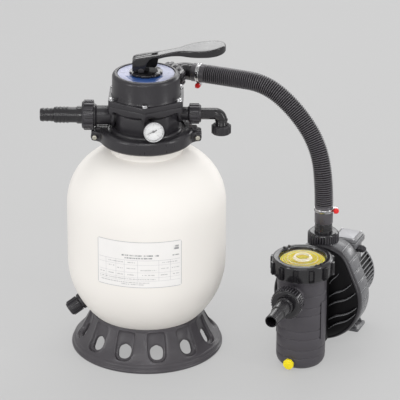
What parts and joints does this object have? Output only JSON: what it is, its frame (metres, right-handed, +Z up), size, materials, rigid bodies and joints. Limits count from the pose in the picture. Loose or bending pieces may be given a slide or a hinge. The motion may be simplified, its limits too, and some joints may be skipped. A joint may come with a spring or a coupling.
{
  "type": "sand filter and pool pump set",
  "caption": "Sand filter tank on a round stand with a top multiport valve and pressure gauge, joined by a ribbed hose to a pool pump with a clear-lidded strainer.",
  "frame": {"origin": "centre of the filter stand where it meets the floor", "axes": "+Z up along the tank axis, -X out of the return port, -Y towards the side with the gauge"},
  "size_m": [0.8512, 0.528, 0.812],
  "materials": {
    "black": "satin black glass-filled plastic",
    "stand_black": "matte black plastic",
    "tank": "satin warm white plastic",
    "grey": "satin mid grey plastic",
    "pot_grey": "satin dark grey plastic",
    "clear": "clear plastic",
    "yellow": "bright yellow plastic",
    "red": "red plastic",
    "index": "pale lavender plate with a blue ring",
    "white": "white",
    "rubber": "black rubber",
    "hose": "black ribbed flexible plastic",
    "steel": "bright stainless steel",
    "iron": "dull laminated steel",
    "brass": "plain brass",
    "internal": "plain grey plastic"
  },
  "bodies": {
    "base": {"filter_stand": "stand_black", "tank_shell": "tank", "drain_outlet": "black", "standpipe": "internal", "laterals": "internal", "clamp_half_front": "black", "clamp_half_rear": "black", "clamp_bolts": "steel", "valve_body": "black", "spider_gasket": "rubber", "valve_spring": "steel", "valve_cover": "black", "cover_screws": "steel", "index_plate": "index", "gauge_case": "black", "gauge_dial": "white", "gauge_lens": "clear", "union_seals": "rubber", "return_tail": "black", "waste_elbow": "black", "port_elbow": "black", "hose": "hose", "hose_clamp_bands": "steel", "discharge_tail": "black", "strainer_pot": "pot_grey", "suction_tail": "black", "pump_housing": "black", "motor_bracket": "grey", "motor_housing": "grey", "stator": "iron", "bearings": "steel", "fan_cowl": "grey", "terminal_box": "grey", "terminal_lid": "white", "cable_gland": "black", "motor_foot": "pot_grey"},
    "drain_cap": {"drain_cap": "black"},
    "selector": {"selector_collar": "black"},
    "stem": {"valve_stem": "internal", "valve_rotor": "internal"},
    "handle": {"handle": "black", "handle_pin": "steel"},
    "gauge_needle": {"gauge_needle": "black"},
    "return_nut": {"return_nut": "black"},
    "waste_nut": {"waste_nut": "black"},
    "waste_end_nut": {"waste_end_nut": "black"},
    "port_nut": {"port_nut": "black"},
    "hose_screw_upper": {"hose_screw_upper": "red"},
    "hose_screw_lower": {"hose_screw_lower": "red"},
    "discharge_nut": {"discharge_nut": "black"},
    "lid": {"strainer_lid": "clear"},
    "lid_ring": {"lid_ring": "black"},
    "basket": {"strainer_basket": "yellow"},
    "suction_nut": {"suction_nut": "black"},
    "pump_drain_plug": {"pump_drain_plug": "yellow"},
    "pump_rotor": {"motor_shaft": "steel", "impeller": "internal", "shaft_seal": "rubber", "rotor_core": "iron", "fan": "black"}
  },
  "joints": [
    {"name": "selector_turn", "type": "hinge", "parent": "base", "child": "selector", "pos_m": [0, 0, 0.738], "axis": [0, 0, 1], "continuous": true},
    {"name": "stem_lift", "type": "slide", "parent": "selector", "child": "stem", "axis": [0, 0, 1], "range_m": [0, 0.0071], "deforming": ["valve_spring"]},
    {"name": "handle_press", "type": "hinge", "parent": "stem", "child": "handle", "pos_m": [-0.012, 0, 0.744], "axis": [0, 1, 0], "range_deg": [0, 15], "stiffness_Nm_per_rad": 8, "springref_deg": -8.59},
    {"name": "gauge_needle_turn", "type": "hinge", "parent": "base", "child": "gauge_needle", "pos_m": [0, 0, 0.624], "axis": [-0.1736, 0.9848, 0], "range_deg": [0, 250], "stiffness_Nm_per_rad": 0.0005},
    {"name": "drain_cap_turn", "type": "hinge", "parent": "base", "child": "drain_cap", "pos_m": [-0.16149, -0.04631, 0.136], "axis": [-0.8152, -0.2338, -0.5299], "continuous": true},
    {"name": "return_nut_turn", "type": "hinge", "parent": "base", "child": "return_nut", "pos_m": [-0.144, 0, 0.622], "axis": [-1, 0, 0], "continuous": true},
    {"name": "waste_nut_turn", "type": "hinge", "parent": "base", "child": "waste_nut", "pos_m": [0.121, 0, 0.627], "axis": [1, 0, 0], "continuous": true},
    {"name": "waste_end_nut_turn", "type": "hinge", "parent": "base", "child": "waste_end_nut", "pos_m": [0.186, 0, 0.587], "axis": [0, 0, 1], "continuous": true},
    {"name": "port_nut_turn", "type": "hinge", "parent": "base", "child": "port_nut", "pos_m": [0.05994, 0.14835, 0.668], "axis": [0.3746, 0.9272, 0], "continuous": true},
    {"name": "discharge_nut_turn", "type": "hinge", "parent": "base", "child": "discharge_nut", "pos_m": [0.447, 0.008, 0.292], "axis": [0, 0, 1], "continuous": true},
    {"name": "suction_nut_turn", "type": "hinge", "parent": "base", "child": "suction_nut", "pos_m": [0.35129, -0.20197, 0.206], "axis": [-0.3746, -0.9272, 0], "continuous": true},
    {"name": "hose_screw_upper_turn", "type": "hinge", "parent": "base", "child": "hose_screw_upper", "pos_m": [0.13162, 0.17763, 0.638], "axis": [-0.3746, -0.9272, 0], "continuous": true},
    {"name": "hose_screw_lower_turn", "type": "hinge", "parent": "base", "child": "hose_screw_lower", "pos_m": [0.477, 0.008, 0.3675], "axis": [0, -1, 0], "continuous": true},
    {"name": "lid_lift", "type": "slide", "parent": "base", "child": "lid", "axis": [0, 0, 1], "range_m": [0, 0.22]},
    {"name": "lid_ring_turn", "type": "hinge", "parent": "lid", "child": "lid_ring", "pos_m": [0.3906, -0.11, 0.27], "axis": [0, 0, 1], "continuous": true},
    {"name": "basket_lift", "type": "slide", "parent": "base", "child": "basket", "axis": [0, 0, 1], "range_m": [0, 0.165]},
    {"name": "pump_drain_plug_turn", "type": "hinge", "parent": "base", "child": "pump_drain_plug", "pos_m": [0.3906, -0.11, 0.02], "axis": [-0.4695, -0.8829, 0], "continuous": true},
    {"name": "pump_rotor_spin", "type": "hinge", "parent": "base", "child": "pump_rotor", "pos_m": [0.39802, -0.113, 0.138], "axis": [0.3746, 0.9272, 0], "continuous": true}
  ],
  "couplings": [
    {"joint": "stem_lift", "follows": "handle_press", "m_per_rad": 0.027},
    {"joint": "basket_lift", "follows": "lid_lift", "ratio": 0.75}
  ]
}
